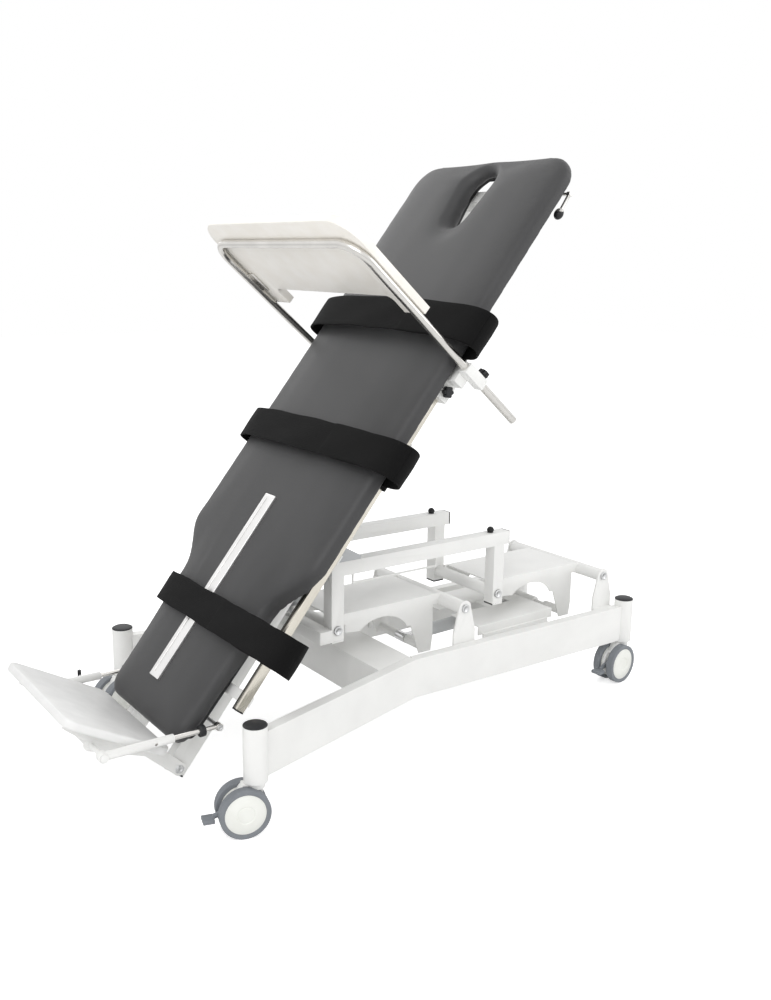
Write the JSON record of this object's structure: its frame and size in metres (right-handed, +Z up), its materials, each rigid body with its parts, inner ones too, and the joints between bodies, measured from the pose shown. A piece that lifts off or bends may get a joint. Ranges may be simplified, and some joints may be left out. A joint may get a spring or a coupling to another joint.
{
  "type": "physiotherapy tilt table",
  "caption": "Tilt table: padded top with straps, sliding tray and footboard on a parallel-arm lift frame over a splayed base on swivel casters.",
  "frame": {"origin": "floor, under the middle of the whole table's box", "axes": "+X from the foot end to the head end, +Y to the far side of the picture, +Z up"},
  "size_m": [1.8942, 0.911, 1.635],
  "materials": {
    "frame_white": "satin powder coat",
    "grey_paint": "satin paint",
    "bright_steel": "brushed",
    "rod_chrome": "polished",
    "zinc": "zinc plated",
    "black_plastic": "matt",
    "grey_plastic": "matt",
    "white_plastic": "semi gloss",
    "rubber": "matt",
    "pad_cover": "embossed vinyl",
    "board": "black coated",
    "webbing": "woven",
    "tray_board": "satin laminate",
    "footboard": "satin",
    "divider": "anodised",
    "tyre": "matt"
  },
  "bodies": {
    "base": {"base_rails": "frame_white", "base_posts": "frame_white", "post_caps": "black_plastic", "base_cross_beams": "frame_white", "pivot_brackets": "frame_white", "base_bolts": "zinc", "lift_cover": "frame_white"},
    "arm_head": {"arm_head": "frame_white"},
    "arm_foot": {"arm_foot": "frame_white"},
    "lift_frame": {"lift_frame_sides": "frame_white", "lift_frame_cross": "frame_white", "lift_frame_caps": "black_plastic", "rubber_buffers": "rubber", "tilt_brackets": "grey_paint", "frame_bolts": "zinc", "hanger_wire": "frame_white"},
    "tilt_motor": {"tilt_motor": "grey_paint"},
    "tilt_rod": {"tilt_rod": "rod_chrome"},
    "lift_motor": {"lift_motor": "grey_paint"},
    "lift_rod": {"lift_rod": "rod_chrome"},
    "top": {"top_frame": "frame_white", "tilt_lever": "frame_white", "board": "board", "pad": "pad_cover", "side_rails": "bright_steel", "rail_clips": "frame_white", "top_caps": "black_plastic", "divider_track": "divider", "strap_chest": "webbing", "strap_middle": "webbing", "strap_ankle": "webbing", "foot_bolts": "zinc"},
    "head_lever": {"head_lever": "bright_steel"},
    "rail_clamps": {"rail_clamps": "divider"},
    "arm_sleeves": {"arm_sleeves": "frame_white"},
    "tray": {"tray_frame": "bright_steel", "tray_top": "tray_board"},
    "knob_clamp_near": {"knob_clamp_near": "black_plastic"},
    "knob_clamp_far": {"knob_clamp_far": "black_plastic"},
    "knob_sleeve_near": {"knob_sleeve_near": "black_plastic"},
    "knob_sleeve_far": {"knob_sleeve_far": "black_plastic"},
    "foot": {"foot_frame": "frame_white", "footboard": "footboard"},
    "brace_tubes": {"brace_tubes": "frame_white"},
    "brace_rods": {"brace_rods": "bright_steel", "brace_knobs": "black_plastic"},
    "lock_pin": {"lock_pin": "black_plastic"},
    "caster_foot_near": {"caster_foot_near": "white_plastic"},
    "wheels_foot_near": {"wheels_foot_near": "tyre"},
    "pedal_foot_near": {"pedal_foot_near": "grey_plastic"},
    "caster_foot_far": {"caster_foot_far": "white_plastic"},
    "wheels_foot_far": {"wheels_foot_far": "tyre"},
    "pedal_foot_far": {"pedal_foot_far": "grey_plastic"},
    "caster_head_near": {"caster_head_near": "white_plastic"},
    "wheels_head_near": {"wheels_head_near": "tyre"},
    "pedal_head_near": {"pedal_head_near": "grey_plastic"},
    "caster_head_far": {"caster_head_far": "white_plastic"},
    "wheels_head_far": {"wheels_head_far": "tyre"},
    "pedal_head_far": {"pedal_head_far": "grey_plastic"}
  },
  "joints": [
    {"name": "lift", "type": "hinge", "parent": "base", "child": "arm_head", "pos_m": [0.839, 0, 0.355], "axis": [0, 1, 0], "range_deg": [0, 60]},
    {"name": "lift_arm_foot", "type": "hinge", "parent": "base", "child": "arm_foot", "pos_m": [0.252, 0, 0.355], "axis": [0, 1, 0], "range_deg": [0, 60]},
    {"name": "lift_level", "type": "hinge", "parent": "arm_head", "child": "lift_frame", "pos_m": [0.426, 0, 0.355], "axis": [0, 1, 0], "range_deg": [-60, 0]},
    {"name": "lift_motor_swing", "type": "hinge", "parent": "base", "child": "lift_motor", "pos_m": [0.624, 0, 0.226], "axis": [0, 1, 0], "range_deg": [0, 13.2]},
    {"name": "lift_rod_swing", "type": "hinge", "parent": "arm_foot", "child": "lift_rod", "pos_m": [0.18692, 0, 0.21543], "axis": [0, 1, 0], "range_deg": [-46.83, 0]},
    {"name": "tilt", "type": "hinge", "parent": "lift_frame", "child": "top", "pos_m": [-0.198, 0, 0.6], "axis": [0, -1, 0], "range_deg": [-51.1, 28.9]},
    {"name": "tilt_motor_swing", "type": "hinge", "parent": "lift_frame", "child": "tilt_motor", "pos_m": [-0.20813, 0, 0.38524], "axis": [0, -1, 0], "range_deg": [-25.56, 14.46]},
    {"name": "tilt_rod_swing", "type": "hinge", "parent": "top", "child": "tilt_rod", "pos_m": [-0.01256, 0, 0.7088], "axis": [0, -1, 0], "range_deg": [-14.46, 25.56]},
    {"name": "head_lever_turn", "type": "hinge", "parent": "top", "child": "head_lever", "pos_m": [0.50556, 0, 1.52926], "axis": [0, -1, 0], "range_deg": [0, 20]},
    {"name": "tray_along_rails", "type": "slide", "parent": "top", "child": "rail_clamps", "axis": [0.628, 0, 0.7782], "range_m": [-0.12, 0.004]},
    {"name": "tray_tilt", "type": "hinge", "parent": "rail_clamps", "child": "arm_sleeves", "pos_m": [0.12019, 0, 1.06282], "axis": [0, -1, 0], "range_deg": [0, 20]},
    {"name": "tray_reach", "type": "slide", "parent": "arm_sleeves", "child": "tray", "axis": [-0.7559, 0, 0.6547], "range_m": [-0.1, 0.1]},
    {"name": "clamp_knob_turn_near", "type": "hinge", "parent": "rail_clamps", "child": "knob_clamp_near", "pos_m": [0.07875, -0.308, 1.01145], "axis": [0, -1, 0], "continuous": true},
    {"name": "sleeve_knob_turn_near", "type": "hinge", "parent": "arm_sleeves", "child": "knob_sleeve_near", "pos_m": [0.15919, -0.355, 1.05285], "axis": [0.6547, 0, 0.7559], "continuous": true},
    {"name": "clamp_knob_turn_far", "type": "hinge", "parent": "rail_clamps", "child": "knob_clamp_far", "pos_m": [0.07875, 0.308, 1.01145], "axis": [0, 1, 0], "continuous": true},
    {"name": "sleeve_knob_turn_far", "type": "hinge", "parent": "arm_sleeves", "child": "knob_sleeve_far", "pos_m": [0.15919, 0.355, 1.05285], "axis": [0.6547, 0, 0.7559], "continuous": true},
    {"name": "footboard_tilt", "type": "hinge", "parent": "top", "child": "foot", "pos_m": [-0.63902, 0, 0.0821], "axis": [0, -1, 0], "range_deg": [-3, 10]},
    {"name": "brace_tube_swing", "type": "hinge", "parent": "foot", "child": "brace_tubes", "pos_m": [-0.86442, 0, 0.21171], "axis": [0, -1, 0], "range_deg": [-2.43, 2.43]},
    {"name": "brace_rod_swing", "type": "hinge", "parent": "top", "child": "brace_rods", "pos_m": [-0.56509, 0, 0.20876], "axis": [0, -1, 0], "range_deg": [-7.59, 7.59]},
    {"name": "lock_pin_pull", "type": "slide", "parent": "brace_tubes", "child": "lock_pin", "axis": [0, 1, 0], "range_m": [0, 0.012]},
    {"name": "swivel_foot_near", "type": "hinge", "parent": "base", "child": "caster_foot_near", "pos_m": [-0.552, -0.4, 0.13], "axis": [0, 0, 1], "continuous": true},
    {"name": "roll_foot_near", "type": "hinge", "parent": "caster_foot_near", "child": "wheels_foot_near", "pos_m": [-0.58372, -0.3909, 0.0625], "axis": [0.2756, 0.9613, 0], "continuous": true},
    {"name": "brake_foot_near", "type": "hinge", "parent": "caster_foot_near", "child": "pedal_foot_near", "pos_m": [-0.6164, -0.38153, 0.0665], "axis": [-0.2756, -0.9613, 0], "range_deg": [0, 14]},
    {"name": "swivel_foot_far", "type": "hinge", "parent": "base", "child": "caster_foot_far", "pos_m": [-0.552, 0.4, 0.13], "axis": [0, 0, 1], "continuous": true},
    {"name": "roll_foot_far", "type": "hinge", "parent": "caster_foot_far", "child": "wheels_foot_far", "pos_m": [-0.58372, 0.3909, 0.0625], "axis": [-0.2756, 0.9613, 0], "continuous": true},
    {"name": "brake_foot_far", "type": "hinge", "parent": "caster_foot_far", "child": "pedal_foot_far", "pos_m": [-0.6164, 0.38153, 0.0665], "axis": [0.2756, -0.9613, 0], "range_deg": [0, 14]},
    {"name": "swivel_head_near", "type": "hinge", "parent": "base", "child": "caster_head_near", "pos_m": [0.911, -0.246, 0.13], "axis": [0, 0, 1], "continuous": true},
    {"name": "roll_head_near", "type": "hinge", "parent": "caster_head_near", "child": "wheels_head_near", "pos_m": [0.87818, -0.24945, 0.0625], "axis": [-0.1045, 0.9945, 0], "continuous": true},
    {"name": "brake_head_near", "type": "hinge", "parent": "caster_head_near", "child": "pedal_head_near", "pos_m": [0.84437, -0.253, 0.0665], "axis": [0.1045, -0.9945, 0], "range_deg": [0, 14]},
    {"name": "swivel_head_far", "type": "hinge", "parent": "base", "child": "caster_head_far", "pos_m": [0.911, 0.246, 0.13], "axis": [0, 0, 1], "continuous": true},
    {"name": "roll_head_far", "type": "hinge", "parent": "caster_head_far", "child": "wheels_head_far", "pos_m": [0.87818, 0.24945, 0.0625], "axis": [0.1045, 0.9945, 0], "continuous": true},
    {"name": "brake_head_far", "type": "hinge", "parent": "caster_head_far", "child": "pedal_head_far", "pos_m": [0.84437, 0.253, 0.0665], "axis": [-0.1045, -0.9945, 0], "range_deg": [0, 14]}
  ],
  "couplings": [
    {"joint": "lift_arm_foot", "follows": "lift", "ratio": 1},
    {"joint": "lift_level", "follows": "lift", "ratio": -1},
    {"joint": "lift_motor_swing", "follows": "lift", "ratio": 0.21975},
    {"joint": "lift_rod_swing", "follows": "lift", "ratio": -0.78025},
    {"joint": "tilt_motor_swing", "follows": "tilt", "ratio": 0.5},
    {"joint": "tilt_rod_swing", "follows": "tilt", "ratio": -0.5},
    {"joint": "brace_tube_swing", "follows": "footboard_tilt", "ratio": -0.24225},
    {"joint": "brace_rod_swing", "follows": "footboard_tilt", "ratio": 0.75775}
  ]
}
